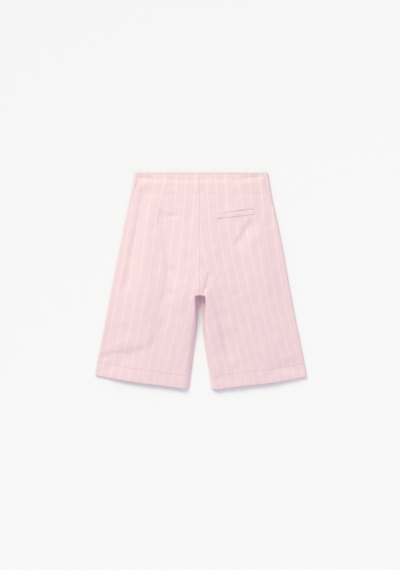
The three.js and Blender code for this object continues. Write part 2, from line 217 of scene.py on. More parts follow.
# and the inseam itself is drawn in, under the edge of the back: down, how far; and over what height
INSEAM_DRAWN_IN = [(305.5, 0), (307.4, 8), (350, 8), (370, 5), (400, 2), (440, 0), (545, 0)]
DRAWN_SHARE = 0.75  # of half the wall's height
LEAN_REACH = 14
SIDE_SLOPE = 1.6  # how late the cloth comes down to the side fold
RELIEF_CLEAR_OF_SIDE = 24
FOLD_CLEAR_OF_SIDE = 16
FOLD_AT_SIDE = 0.7  # the share of a fold's depth that is left at the side fold
FLATTEST = 3.9  # a fold can't press the two cloths closer to the table than this
FLATTEST_SOFT = 0.45  # and comes to rest within
# Soft folds: x and down of one end, then of the other, width, depth. The near wall is steep, and the far
# one, to the left of the fold's run on the plan, is a few times as wide.
FAR_WALL = 2.2
FOLD_END = 1.6  # widths, over which a fold's ends fade
FOLDS = {
    "left thigh, upper": (-88, 112, -78, 246, 10, 3.4),
    "left thigh, middle": (-74, 238, -86, 310, 9, 4),
    "left thigh, lower": (-88, 300, -96, 386, 10, 1.9),
    "left thigh, foot": (-92, 380, -128, 446, 11, 2.2),
    "left thigh, outer": (-168, 380, -245, 410, 16, 1.9),
    "left hem, from the side": (-132, 443, -290, 480, 15, 4),
    "left hem, near the side": (-192, 453, -290, 476, 10, 3),
    "right seat, from the pocket": (131, 119, 92, 180, 7.5, 3.2),
    "right thigh, top": (28, 298, 42, 340, 9, 1.3),
    "right thigh, inner": (43, 346, 57, 394, 9, 3.4),
    "right leg, inner": (59, 398, 75, 466, 10, 5.6),
    "right leg, foot": (76, 470, 84, 504, 10, 2),
    "right hem, inner": (44, 513, 98, 519, 8, 1.2),
    "right hem, outer": (196, 484, 300, 489, 10, 2.8),
}


def smooth(start, end, at):
    t = np.clip((at - start) / (end - start), 0, 1)
    return t * t * (3 - 2 * t)


def read(table, down, column):
    """A column of a table at any distance down, on a smooth curve through its rows."""
    last = len(table) - 1
    i = 0
    while i < last - 1 and table[i + 1][0] < down:
        i += 1

    def slope(k):
        a, b = table[max(0, k - 1)], table[min(last, k + 1)]
        return (b[column] - a[column]) / (b[0] - a[0])

    p, q = table[i], table[i + 1]
    span = q[0] - p[0]
    t = min(1, max(0, (down - p[0]) / span))
    return (
        (2 * t**3 - 3 * t**2 + 1) * p[column]
        + (t**3 - 2 * t**2 + t) * span * slope(i)
        + (3 * t**2 - 2 * t**3) * q[column]
        + (t**3 - t**2) * span * slope(i + 1)
    )


def fold_depth(x, down, folds):
    """How deep soft folds press the cloth at a point."""
    depth = np.zeros_like(x)
    for x0, down0, x1, down1, width, deep in folds.values():
        ax, ay = x1 - x0, down1 - down0
        length = math.hypot(ax, ay)
        along = ((x - x0) * ax + (down - down0) * ay) / length
        aside = ((x - x0) * ay - (down - down0) * ax) / length
        end = width * FOLD_END
        fade = smooth(-end, end, along) * (1 - smooth(length - end, length + end, along))
        depth += deep * fade * np.exp(-((aside / np.where(aside > 0, width * FAR_WALL, width)) ** 2))
    return depth


class Row:
    """One row across a half, from its inner seam out to the side fold."""

    def __init__(self, side, down):
        leg = LEGS[side]
        self.leg, self.down = leg, down
        column = 1 if side == "left" else 2
        self.is_leg = down >= CROTCH_DOWN
        self.inner_across = read(INSEAM_LINE, down, column) if self.is_leg else 0
        outer_down = down - (leg["inner_down"] - leg["outer_down"]) * float(smooth(*HEM_TILT, down))
        dx = read(SIDE_LINE, outer_down, column) - self.inner_across
        self.width = math.hypot(dx, outer_down - down)
        self.ux, self.udown = dx / self.width, (outer_down - down) / self.width
        self.side_radius = read(LOFT, down, 1) / 2
        self.side_arc = math.pi / 2 * self.side_radius
        self.inseam_height = read(INSEAM_EDGE, down, 1) if self.is_leg else 0
        self.inseam_radius = min(INSEAM_CORNER, self.inseam_height / 2)
        self.shoulder = self.inseam_radius + read(INSEAM_EDGE, down, 2)
        self.lean = max(0, read(INNER_LEAN, down, column)) if self.is_leg else 0
        self.drawn_in = max(0, read(INSEAM_DRAWN_IN, down, 1)) if self.is_leg else 0
        first, last = SHOULDER[side]
        self.roundness = first + (last - first) * float(smooth(*SHOULDER_TURNS, down))
        to_hem = leg["inner_down"] - down
        self.corner = HEM_CORNER[side] * float(smooth(HEM_CORNER_FROM, 0, to_hem))
        self.bow = leg["hem_bow"] * float(smooth(HEM_BOW_FROM, 0, to_hem))
        self.inseam_wall = self.inseam_height / 2 - self.inseam_radius
        self.inseam_arc = self.inseam_wall + math.pi / 2 * self.inseam_radius
        self.over = self.inseam_arc + self.width - self.inseam_radius - self.side_radius + self.side_arc
        self.seam = self.over - SEAM_FORWARD * (1 - float(smooth(0, SEAM_FORWARD_DOWN, down)))

    def plan(self, d):
        """Plan position d from the inner seam: x, and distance down."""
        bow = self.bow * np.exp(-(((d / self.width - HEM_BOW_AT) / HEM_BOW_SPREAD) ** 2))
        corner = self.corner * np.clip(1 - d / HEM_CORNER_REACH, 0, 1) ** HEM_CORNER_TURN
        x = self.leg["sign"] * (self.inner_across + self.ux * d)
        return x, self.down + self.udown * d + bow - corner

    def height(self, d):
        """Height of the upper cloth, d from the inner seam."""
        x, down = self.plan(d)
        share = np.clip((self.inner_across + d) / (self.inner_across + self.width), 0, 1)
        side, middle, centre = (read(LOFT, self.down, k) for k in (1, 2, 3))
        level = np.where(
            share < 0.5,
            centre + (middle - centre) * smooth(0, 0.5, share),
            middle + (side - middle) * smooth(0.5, 1, share) ** SIDE_SLOPE,
        )
        to_side = self.width - d
        kept = FOLD_AT_SIDE + (1 - FOLD_AT_SIDE) * smooth(self.side_radius, FOLD_CLEAR_OF_SIDE, to_side)
        level = level - fold_depth(x, down, FOLDS) * kept
        level = FLATTEST + FLATTEST_SOFT * np.logaddexp(0, (level - FLATTEST) / FLATTEST_SOFT)
        level = level + smooth(0, RELIEF_CLEAR_OF_SIDE, to_side) * relief(x, down)
        level = level + hem_relief(x, self.leg["inner_down"] - HEM_DEPTH - self.down)
        if not self.is_leg:
            return level
        wall_top = self.inseam_height - self.inseam_radius
        climb = (1 - (1 - np.clip(d / self.shoulder, 0, 1)) ** 2) ** self.roundness
        return wall_top + (level - wall_top) * climb

    def ring(self, c):
        """Points of the outer surface, c along the cloth from the inner seam, over and back under."""
        under = c > self.over
        b = np.where(under, 2 * self.over - c, c)
        on_inseam, on_side = b < self.inseam_arc, self.over - b < self.side_arc
        d = self.inseam_radius + b - self.inseam_arc
        turn = (self.over - b) / self.side_radius
        d = np.where(on_side, self.width - self.side_radius * (1 - np.cos(turn)), d)
        rise = np.where(on_side, np.sin(turn), 1.0)
        if self.is_leg:
            turn = np.maximum(0, b - self.inseam_wall) / self.inseam_radius
            d = np.where(on_inseam, self.inseam_radius * (1 - np.cos(turn)), d)
        full = self.height(np.minimum(d, self.width - self.side_radius))
        x, down = self.plan(d)
        z = full / 2 * (1 + rise)
        z_under = np.where(on_side, full / 2 * (1 - rise), 0)
        if self.is_leg:
            half = self.inseam_height / 2
            stand = np.minimum(b, self.inseam_wall) + self.inseam_radius * np.sin(turn)
            z = np.where(on_inseam & (b < self.inseam_wall), half + b, z)
            z_under = np.where(on_inseam, half - stand, z_under)
            leaves, thins = min(LEAN_HEIGHT[0], half), min(LEAN_HEIGHT[1], half / 3)
            low = np.where(under, smooth(leaves, thins, z_under), 0)
            lean = min(self.lean, self.inner_across - SEAM_GAP) * low * np.exp(-((d / LEAN_REACH) ** 2))
            drawn_in = self.drawn_in * (1 - low) * np.exp(-((b / (DRAWN_SHARE * half)) ** 2))
            x = x + self.leg["sign"] * (drawn_in - lean)
        return np.stack([x, -down, np.where(under, z_under, z)], axis=-1)


# Waist darts: side, x at the waist, x and down at the apex
DARTS = {"left": (-80.8, -82.0, 103), "right": (89.3, 88.6, 96)}
# A dart's seam is sunk, and the cloth puffs a little below its apex
DART_SEAM = {"sunk": 0.4, "width": 1.5, "fades_above": 14, "gone_below": 6}
DART_PUFF = {"high": 1.1, "across": 15, "along": 19, "below": 10}
# Small uneven swells of the cloth: across and down wavelengths, turn, height
SWELLS = [
    (74, 118, 0.4, 0.34), (41, 96, 1.9, 0.24), (120, 47, 2.6, 0.26), (29, 63, 4.4, 0.13),
    (53, 31, 5.1, 0.12),
]
# Sharp little creases, written as the folds are
CREASES = {
    "from the crotch": (25, 250, 10.5, 293, 3.4, 1.9),
    "beside the crotch": (15, 284, 8, 304, 2.6, 1.4),
    "ridge above the crotch": (0, 250, -4, 294, 6, -1.6),
    "left corner of the waist": (-150, 13, -116, 22, 2, 0.8),
    "left corner, along the edge": (-156, 10, -120, 14, 3, 1.8),
    "right corner, along the edge": (112, 13.5, 160, 7.5, 3, 1.8),
    "under the waist edge": (-150, 16, 150, 16, 6, 1.2),
    "left corner, down the side": (-155, 8, -152, 30, 1.6, 1.0),
    "left dart, at its foot": (-81, 101, -73, 110, 2, 0.9),
    "left dart, beside its foot": (-73, 110, -68, 104, 2, 0.6),
    "above the left dart's foot": (-96, 113, -54, 106, 6, 1.6),
    "left of the dart's foot": (-96, 94, -102, 130, 6, 2.0),
    "left waist": (-80, 29, -60, 31, 1.8, 0.5),
    "left side strip": (-137, 34, -188, 290, 8, 3.2),
    "right thigh's crown": (178, 285, 146, 135, 22, -2.8),
    "right leg's crown": (222, 470, 178, 280, 22, -1.6),
    "left of the pocket": (38, 117, 83, 82, 6, -0.6),
    "left side, at the hem": (-256, 466, -226, 458, 4, 1.2),
    "right corner of the hem": (262, 490, 246, 502, 4, 0.9),
}
WAIST_PRESS = (1.0, 18)  # the waist edge is pressed flatter: how far, and how soon that fades
HEM_CURL = 1.1  # the hem's lower edge stands up a little
FACING_DEPTH = 48  # the facing inside the waist
FACING_RAISES = {"by": 0.4, "uneven": 0.15, "wave": 17, "from": 2, "to": -1}  # from and to, past its depth
# The welt pocket on the right back: the middle, the strip's size and its rise across. It is sunk in a bed
# with sloping margins. The mouth above it is wider and drops deeper at its outer end.
WELT = {
    "x": 88.3, "down": 102.2, "length": 96, "width": 12.4, "rise": 0.112, "thick": 0.4,
    "sunk": 0.44, "margin": 0.6, "mouth": 1.3, "mouth_inner_share": 0.45, "mouth_round": 0.62,
    "drop": 1.9, "drop_inner_share": 0.2,
}
WELT_TILT = math.atan(WELT["rise"])
# The hem's blind stitches, seen from outside as a row of small dents: spacing and depth
PICK_SPACING = 8.4
PICK_DENT = 0.45
PICK_DENT_WIDTH = 1.1
# The doubled hem stands proud of the line, and the line pulls the cloth in unevenly
HEM_STEP = {"by": 0.5, "from": -1.4, "to": 1.8, "fades_in": 22}
HEM_PULL = {"by": 0.3, "width": 1.2, "waves": ((13, 1.1), (31, 0.4))}


def welt_place(x, down):
    """Distances along and across the welt, from its middle."""
    ax, ay = x - WELT["x"], down - WELT["down"]
    slant, straight = math.sin(WELT_TILT), math.cos(WELT_TILT)
    return ax * straight - ay * slant, ax * slant + ay * straight


def welt_bed(x, down):
    """The cloth is sunk under the welt, and drops sharply at the pocket's mouth above it."""
    along, across = welt_place(x, down)
    half_length, half_width = WELT["length"] / 2, WELT["width"] / 2
    inside = smooth(half_length + WELT["margin"], half_length, np.abs(along))
    bed = smooth(half_width + WELT["margin"], half_width, np.abs(across))
    outer = smooth(-half_length, half_length, along)
    wide = WELT["mouth"] * (WELT["mouth_inner_share"] + (1 - WELT["mouth_inner_share"]) * outer)
    mouth = np.exp(-(((across + half_width + wide / 2) / (wide * WELT["mouth_round"])) ** 2))
    drop = WELT["drop"] * (WELT["drop_inner_share"] + (1 - WELT["drop_inner_share"]) * outer)
    return inside * (WELT["sunk"] * bed + drop * mouth)


def relief(x, down):
    """Fine form of the upper cloth: swells, creases, the pull of the darts, and the bed of the welt."""
    total = -fold_depth(x, down, CREASES) - welt_bed(x, down)
    for across, along, turn, high in SWELLS:
        sway = np.sin(down * 2 * math.pi / along + turn * 3)
        total += high * np.sin(x * 2 * math.pi / across + turn + sway)
    for x0, x1, apex in DARTS.values():
        at = x0 + (x1 - x0) * down / apex
        sewn = 1 - smooth(apex - DART_SEAM["fades_above"], apex + DART_SEAM["gone_below"], down)
        total -= DART_SEAM["sunk"] * sewn * np.exp(-(((x - at) / DART_SEAM["width"]) ** 2))
        puff_down = (down - apex - DART_PUFF["below"]) / DART_PUFF["along"]
        total += DART_PUFF["high"] * np.exp(-(((x - x1) / DART_PUFF["across"]) ** 2) - puff_down**2)
    raised = FACING_RAISES["by"] + FACING_RAISES["uneven"] * np.sin(x / FACING_RAISES["wave"])
    total += raised * smooth(FACING_DEPTH + FACING_RAISES["from"], FACING_DEPTH + FACING_RAISES["to"], down)
    return total - WAIST_PRESS[0] * np.exp(-np.maximum(down, 0) / WAIST_PRESS[1])


def hem_relief(x, above):
    """The stitching line of the hem. Above is the distance from a point up to the line."""
    over = HEM_STEP["by"] * smooth(HEM_STEP["from"], HEM_STEP["to"], above)
    over = over * np.exp(-max(above, 0) / HEM_STEP["fades_in"])
    (wave, turn), (long_wave, long_turn) = HEM_PULL["waves"]
    uneven = 0.5 + 0.5 * np.sin(x / wave + turn) * np.sin(x / long_wave + long_turn)
    pull = HEM_PULL["by"] * uneven * np.exp(-((above / HEM_PULL["width"]) ** 2))
    between = np.sin(math.pi * x / PICK_SPACING) * PICK_SPACING / 4
    dent = PICK_DENT * np.exp(-((above / PICK_DENT_WIDTH) ** 2) - between**2)
    return over - pull - dent + HEM_CURL * smooth(0, HEM_DEPTH, -above)


# Stripes of the back panels. Down, then for each half: the first stripe from the centre back, the pitch
# before the fifth stripe, the fifth stripe, and the pitch beyond it. The dart shifts those beyond it.
STRIPES = {
    "left": [
        (17, 9.5, 24.8, 87.5, 25.0), (42, 12.5, 23.6, 92.5, 24.7), (67, 15, 23.1, 99.5, 23.8),
        (92, 17, 22.8, 106.5, 22.3), (117, 19, 22.9, 110.8, 21.8), (192, 26.5, 23.1, 119, 22.6),
        (242, 31.5, 23.3, 124.5, 23.6), (317, 46.2, 23.2, 139, 23.6), (417, 67.5, 22.7, 158.2, 23.6),
        (492, 86.3, 21.9, 173.8, 23.8), (560, 101.8, 21.5, 187.8, 23.8),
    ],
    "right": [
        (17, 16, 23.8, 95, 27.5), (42, 18.5, 23.7, 100.5, 26.4), (67, 20.5, 23.1, 105, 25.4),
        (92, 21.8, 23.1, 110, 23.8), (117, 22.5, 22.9, 114.2, 22.9), (192, 31.8, 23.5, 126, 22.2),
        (242, 43, 23.1, 135.5, 21.5), (317, 63, 21.8, 150, 20.6), (392, 82.8, 21.2, 167.8, 20.3),
        (442, 95, 21.2, 180, 20.2), (492, 107.2, 21, 191.2, 20.2), (560, 123.2, 20.8, 206.2, 20.2),
    ],
}
STRIPE_PITCH = 23.2  # on the cloth
GRAIN_SLANT = 0.12  # the weft drops towards the centre back
FRONT_SLANT = 0.1  # the front's stripes lean in to the centre front
FRONT_FIRST = 8  # its first stripe, from the centre front at the waist


def back_cut(side, x, down):
    """Where a point of a back panel is on the cut cloth: stripe number, and millimetres along the grain."""
    table = STRIPES[side]
    d = np.abs(x)
    first, pitch, fifth, beyond = (np.array([read(table, v, k) for v in down]) for k in (1, 2, 3, 4))
    x0, x1, apex = DARTS[side]
    dart = abs(x0) + (abs(x1) - abs(x0)) * down / apex
    inner, outer = (d - first) / pitch, 4 + (d - fifth) / beyond
    past = np.where(down < apex, d > dart, d > fifth)
    return np.stack([np.where(past, outer, inner), (down - GRAIN_SLANT * d) / STRIPE_PITCH], axis=-1)


def front_cut(side, x, down):
    """The same for a front panel."""
    across = (np.abs(x) - FRONT_FIRST + FRONT_SLANT * down) / STRIPE_PITCH
    return np.stack([across, down / STRIPE_PITCH], axis=-1)


def to_row_frame(points):
    """From the tailor's millimetres to metres in the garment's own frame."""
    return points * MM + np.array([CENTRE_BACK_X, WAIST_Y, 0])


def grid_normals(points):
    across, along = np.gradient(points, axis=1), np.gradient(points, axis=0)
    normals = np.cross(along, across)
    return normals / np.maximum(np.linalg.norm(normals, axis=2, keepdims=True), 1e-9)


RIM_BULGE = 0.4  # of the seam's gap


def cloth_wall(name, outer, thick, cut, outward):
    """A closed sheet of cloth: its outer points, the wall behind them, and a rounded rim between."""
    rows, columns = outer.shape[:2]
    normals = grid_normals(outer) * outward
    inner = outer - normals * thick[..., None]
    rim = (
        [(0, k) for k in range(columns)]
        + [(r, columns - 1) for r in range(1, rows)]
        + [(rows - 1, k) for k in range(columns - 2, -1, -1)]
        + [(r, 0) for r in range(rows - 2, 0, -1)]
    )
    middle = (outer + inner) / 2
    bulge = []
    for r, k in rim:
        away = middle[r, k] - middle[min(max(r, 1), rows - 2), min(max(k, 1), columns - 2)]
        away -= normals[r, k] * away.dot(normals[r, k])
        bulge.append(middle[r, k] + away / max(np.linalg.norm(away), 1e-9) * SEAM_GAP * RIM_BULGE)
    points = np.concatenate([outer.reshape(-1, 3), inner.reshape(-1, 3), np.array(bulge)])
    under, edge = rows * columns, 2 * rows * columns
    index = np.arange(rows * columns).reshape(rows, columns)
    a, b, c, d = index[:-1, :-1], index[1:, :-1], index[1:, 1:], index[:-1, 1:]
    top = np.stack([a, b, c, d], axis=-1).reshape(-1, 4)
    faces = np.concatenate([top, top[:, ::-1] + under])
    if outward < 0:
        faces = faces[:, ::-1]
    ring = []
    for i, (r, k) in enumerate(rim):
        j = (i + 1) % len(rim)
        p, q = index[r, k], index[rim[j]]
        ring += [(p, edge + i, edge + j, q), (edge + i, p + under, q + under, edge + j)]
    ring = np.array(ring)
    if outward > 0:
        ring = ring[:, ::-1]
    faces = np.concatenate([faces, ring])
    mesh = bpy.data.meshes.new(name)
    mesh.from_pydata(to_row_frame(points).tolist(), [], faces.tolist())
    cut_of = np.concatenate([cut.reshape(-1, 2), cut.reshape(-1, 2), np.array([cut[r, k] for r, k in rim])])
    cut_map = mesh.uv_layers.new(name="cut")
    corners = np.empty(len(mesh.loops), dtype=np.int32)
    mesh.loops.foreach_get("vertex_index", corners)
    cut_map.data.foreach_set("uv", cut_of[corners].astype(np.float32).ravel())
    mesh.polygons.foreach_set("use_smooth", np.ones(len(mesh.polygons), dtype=bool))
    piece = bpy.data.objects.new(name, mesh)
    bpy.context.collection.objects.link(piece)
    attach(piece, "root")
    return piece


# The cloth's colour and weave, on the cut map: across in stripe pitches, along in the same unit
ROSE_GROUND = (0.846, 0.655, 0.674)
ROSE_DEEP = (0.806, 0.607, 0.632)
CHALK = (0.878, 0.710, 0.712)
STRIPE_HALF = 0.048  # in pitches
COOL_CLOUD = (0.982, 0.976, 0.986)
WARM_CLOUD = (1.0, 1.0, 0.992)
# Painted warm light over the waist band where the facing lies: these tints stand in for the warm light from
# beyond the waist
WAIST_WARM_LIGHT_TINT = (0.986, 0.988, 0.980)
SIDE_WARM_LIGHT_TINT = (0.982, 0.972, 0.944)
WARM_LIGHT_TOWARDS_SIDE = (96, 150)  # it grows warmer between these distances from the centre back
WARM_LIGHT_EDGE = 1.5  # half the width of its soft edge
WARP_SLUB = (34, 2.1)  # noise scales across and along
WEFT_SLUB = (2.4, 30)
FINE_SLUB = (60, 60)
CLOUD = (0.5, 0.5)
THREADS_IN_PITCH = 38
WEAVE_HEIGHT = 0.16  # of a slub's


def cloth_material(name):
    cloth = Nodes(name)
    cut = cloth.add("ShaderNodeUVMap", {"uv_map": "cut"})[0]
    across, along, _ = cloth.add("ShaderNodeSeparateXYZ", None, Vector=cut)
    # Slubs: long in the thread's own direction
    warp = cloth.noise(cut, *WARP_SLUB, 3.0, 0.6)
    weft = cloth.noise(cut, *WEFT_SLUB, 3.0, 0.6)
    fine = cloth.noise(cut, *FINE_SLUB, 2.0, 0.6)
    slub = cloth.math("ADD", cloth.math("MULTIPLY", warp, 0.5), cloth.math("MULTIPLY", weft, 0.5))
    ground = cloth.mix(cloth.ramp(slub, 0.36, 0.64), ROSE_DEEP, ROSE_GROUND)
    # Chalk stripes, a little broken where slubs cross them
    in_pitch = cloth.math("FRACT", cloth.math("ADD", across, 0.5))
    off = cloth.math("ABSOLUTE", cloth.math("SUBTRACT", in_pitch, 0.5))
    wander = cloth.math("MULTIPLY", cloth.math("SUBTRACT", fine, 0.5), 0.03)
    stripe = cloth.ramp(cloth.math("ADD", off, wander), STRIPE_HALF * 1.35, STRIPE_HALF * 0.65)
    broken = cloth.ramp(weft, 0.25, 0.5, 0.72, 1.0)
    colour = cloth.mix(cloth.math("MULTIPLY", stripe, broken), ground, CHALK)
    cloud = cloth.noise(cut, *CLOUD)
    tint = cloth.mix(cloth.ramp(cloud, 0.3, 0.7), COOL_CLOUD, WARM_CLOUD)
    # The cloth is doubled by its facing at the waist. Over that band the colour is painted warmer, most at
    # the sides: a painted warm light that stands in for the warm light from beyond the waist
    place = cloth.add("ShaderNodeTexCoord")["Object"]
    across_waist, up, _ = cloth.add("ShaderNodeSeparateXYZ", None, Vector=place)
    edge = WAIST_Y - FACING_DEPTH * MM
    warm_light_band = cloth.ramp(up, edge - WARM_LIGHT_EDGE * MM, edge + WARM_LIGHT_EDGE * MM)
    near, far = WARM_LIGHT_TOWARDS_SIDE
    aside = cloth.ramp(cloth.math("ABSOLUTE", across_waist), near * MM, far * MM)
    aside = cloth.math("MULTIPLY", aside, cloth.ramp(cloud, 0.2, 0.6))
    painted_warm_light = cloth.mix(aside, WAIST_WARM_LIGHT_TINT, SIDE_WARM_LIGHT_TINT)
    tint = cloth.mix(cloth.math("MULTIPLY", warm_light_band, 0.9), tint, painted_warm_light)
    cloth.feed(cloth.shader.inputs["Base Color"], cloth.mix(1.0, colour, tint, "MULTIPLY"))
    # Weave: single threads, with the slubs standing proud
    thread = 2 * math.pi * THREADS_IN_PITCH
    warp_thread = cloth.math("SINE", cloth.math("MULTIPLY", across, thread))
    weft_thread = cloth.math("SINE", cloth.math("MULTIPLY", along, thread))
    weave = cloth.math("MULTIPLY", warp_thread, weft_thread)
    height = cloth.math("ADD", cloth.math("MULTIPLY", weave, WEAVE_HEIGHT), slub)
    bump = cloth.add("ShaderNodeBump", None, Strength=0.5, Distance=0.0005, Height=height)
    cloth.feed(cloth.shader.inputs["Normal"], bump[0])
    cloth.feed(cloth.shader.inputs["Roughness"], cloth.ramp(slub, 0.3, 0.7, 0.95, 0.82))
    cloth.shader.inputs["Specular IOR Level"].default_value = 0.25
    cloth.shader.inputs["Sheen Weight"].default_value = 0.12
    cloth.shader.inputs["Sheen Roughness"].default_value = 0.6
    return cloth.material


# Back panels
# Left and right back are cut from the striped cloth and joined by the centre back seam, pressed open.
# Each has one long waist dart and ends in a hem turned up inside and blind-stitched.
rose_cloth = cloth_material("rose_chalk_stripe")
ROW_STEP = 2.0
FIRST_ROW = 1.2
# From, to and spacing. The hem's are from its end.
FINE_ROWS = {"pocket": (92, 118, 0.8), "hem": (-38, -26, 0.7), "waist": (0, 12, 1.0)}
CROTCH_ROWS = [
    302, 303.4, 304.4, 305.5, 305.7, 305.9, 306.1, 306.3, 306.6, 306.9, 307.4, 308, 308.8, 310, 312,
]
HEM_EDGE_ROWS = (1.2, 0.5, 0)  # from the end
EDGE_COLUMNS = [0.07, 0.5, 1.1, 1.9, 2.9, 4.1, 5.5, 7.0, 8.4, 9.8, 11.2, 12.8, 14.8, 17.2]
TRUNK_CORNER = (1.6, 3.4)  # in the trunk, the columns that climb a leg's inner edge close up to the seam
CORNER_COLUMNS = 6  # up the wall, and again round its bend
CROWDING = 1.45  # of the columns beyond the bend, towards it
DART_AT = {"left": 81.5, "right": 89.0}
DART_COLUMNS = (-4.5, -2.8, -1.5, -0.6, 0, 0.6, 1.5, 2.8, 4.5)
DART_MARGIN = 7
BACK_COLUMNS = (36, 68)  # before the dart, and beyond it
FRONT_LIP = (6.2, 3.2)  # how high the front's waist edge stands, and within what distance it does
FRONT_LIP_STARTS = (2, 26)  # past the side fold
FRONT_REST = 0.2  # the fronts lie on their stitches
SEAM_ROLL = (0.42, 1.2)  # how deep the cloth dips at a seam, and how far from it


def rows_down(leg, start):
    """Distances down the inner seam, closer where the pocket lies and at the hem."""
    stops = list(np.linspace(start, 0, 6)) + [0.6] if start < 0 else [0, 0.5]
    down = FIRST_ROW
    while down < leg["inner_down"] - HEM_EDGE_ROWS[0] - 0.4:
        if not CROTCH_ROWS[0] - 1 < down < CROTCH_ROWS[-1] + 1:
            stops.append(down)
        elif CROTCH_ROWS[0] not in stops:
            stops += CROTCH_ROWS
        steps = [
            step for first, last, step in FINE_ROWS.values()
            if first < (down if first >= 0 else down - leg["inner_down"]) < last
        ]
        down += min(steps, default=ROW_STEP)
    return stops + [leg["inner_down"] - e for e in HEM_EDGE_ROWS]


def inner_columns(row, until, count):
    """From the inner seam up its wall, round the corner, and on to x = until, closest at the corner."""
    wall = max(row.inseam_wall, TRUNK_CORNER[0])
    corner = max(row.inseam_arc, TRUNK_CORNER[1])
    climb = list(np.linspace(SEAM_GAP / 2, wall, CORNER_COLUMNS))
    climb += list(np.linspace(wall, corner, CORNER_COLUMNS)[1:])
    last = until - row.inner_across - row.inseam_radius + row.inseam_arc
    return climb + [corner + (last - corner) * t**CROWDING for t in np.linspace(0, 1, count + 1)[1:]]


def back_row(row):
    """Distances along the cloth from the inner seam to the side seam, dense at both and at the dart."""
    dart_at = DART_AT["left" if row.leg["sign"] < 0 else "right"]
    shift = row.inseam_arc - row.inner_across - row.inseam_radius
    inner = inner_columns(row, dart_at - DART_MARGIN, BACK_COLUMNS[0])
    inner += [dart_at + shift + s for s in DART_COLUMNS]
    outer = list(np.linspace(inner[-1], row.seam - EDGE_COLUMNS[-1], BACK_COLUMNS[1] + 1)[1:])
    return np.array(inner + outer + [row.seam - e for e in reversed(EDGE_COLUMNS[:-1])])


def seam_roll(distance):
    return SEAM_ROLL[0] * np.exp(-((distance / SEAM_ROLL[1]) ** 2))


def lip_of(side, start, columns, down):
    """The front's waist edge stands up behind the back's, where the front lies on the table."""
    lip = np.zeros_like(down)
    for r, c in enumerate(columns):
        row = Row(side, float(down[r].min()))
        lip[r] = smooth(*FRONT_LIP_STARTS, c - row.over - row.side_arc)
    return FRONT_LIP[0] * lip * np.exp(-(((down - start) / FRONT_LIP[1]) ** 2))


def wall_thickness(leg, down, columns):
    """One layer, and doubled below the hem's stitching line."""
    folded = smooth(leg["inner_down"] - HEM_DEPTH - 1, leg["inner_down"] - HEM_DEPTH + 1, down)
    return np.full(columns, CLOTH_THICK + (HEM_THICK - CLOTH_THICK) * float(folded))


def panel(name, side, columns_of, cut_of, start):
    """A panel from its rows, from start down to the hem."""
    rows = [Row(side, down) for down in rows_down(LEGS[side], start)]
    columns = [columns_of(row) for row in rows]
    laid = np.array([row.ring(c) for row, c in zip(rows, columns)])
    thick = np.array([wall_thickness(row.leg, row.down, len(c)) for row, c in zip(rows, columns)])
    faces_up = 1 if columns_of is back_row else -1
    outward = 1 if np.mean(grid_normals(laid)[..., 2]) * faces_up > 0 else -1
    edge = np.array([np.minimum(c - c[0], c[-1] - c) for c in columns])
    outer = laid - grid_normals(laid) * outward * seam_roll(edge)[..., None]
    if start < 0:
        outer[..., 2] += lip_of(side, start, columns, -outer[..., 1])
    outer[..., 2] = np.maximum(outer[..., 2], FRONT_REST)
    cut = np.array([cut_of(side, points[:, 0], -points[:, 1]) for points in laid])
    piece = cloth_wall(name, outer, thick, cut, outward)
    piece.data.materials.append(rose_cloth)
    return piece


back_left = panel("back_left_cloth", "left", back_row, back_cut, 0)
back_right = panel("back_right_cloth", "right", back_row, back_cut, 0)
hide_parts("back_left")
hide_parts("back_right")


# Front panels
# The fronts lie on the table. At each side they fold up over the edge, and near the waist the side seam
# lies on top, a finger's width in from the fold. The front waist edge shows just above the back one.
FRONT_COLUMNS = {"side": 15, "flat": 44, "inner": 9}
FRONT_INNER_REACH = 24  # how far in from the inseam its close columns go
FRONT_SIDE_PART = (1.2, 2)  # from past the seam to past the side fold


def front_row(row):
    """Distances along the cloth from the side seam, round the side fold and back to the inner seam."""
    start = [row.seam + e for e in EDGE_COLUMNS[:2]]
    after_seam, after_fold = FRONT_SIDE_PART
    side_end = row.over + row.side_arc + after_fold
    side_part = np.linspace(row.seam + after_seam, side_end, FRONT_COLUMNS["side"])
    inner = inner_columns(row, row.inner_across + FRONT_INNER_REACH, FRONT_COLUMNS["inner"])
    end = [2 * row.over - c for c in reversed(inner)]
    flat = np.linspace(side_part[-1], end[0], FRONT_COLUMNS["flat"])[1:-1]
    return np.concatenate([start, side_part, flat, end])


front_left = panel("front_left_cloth", "left", front_row, front_cut, -FRONT_ABOVE_BACK)
front_right = panel("front_right_cloth", "right", front_row, front_cut, -FRONT_ABOVE_BACK)
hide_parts("front_left")
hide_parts("front_right")


# Back pocket
# A single welt on the wearer's right, cut lengthwise between two stripes and sewn along its lower edge.
# Its top edge is the open mouth.
WELT_PAD = 0.35  # the strip is gently padded by its folded edge
WELT_PAD_ENDS = 5
WELT_POINTS = (64, 12)
half_length, half_width = WELT["length"] / 2, WELT["width"] / 2


def on_welt(u, v, above):
    """A point u along the welt and v across it, above the bed in the right back panel."""
    x = WELT["x"] + u * math.cos(WELT_TILT) + v * math.sin(WELT_TILT)
    down = WELT["down"] - u * math.sin(WELT_TILT) + v * math.cos(WELT_TILT)
    row = Row("right", down)
    bed = float(row.height(np.array([x / row.ux]))[0] + welt_bed(np.array([x]), down)[0]) - WELT["sunk"]
    return x, -down, bed + SEAM_GAP + WELT["thick"] + above


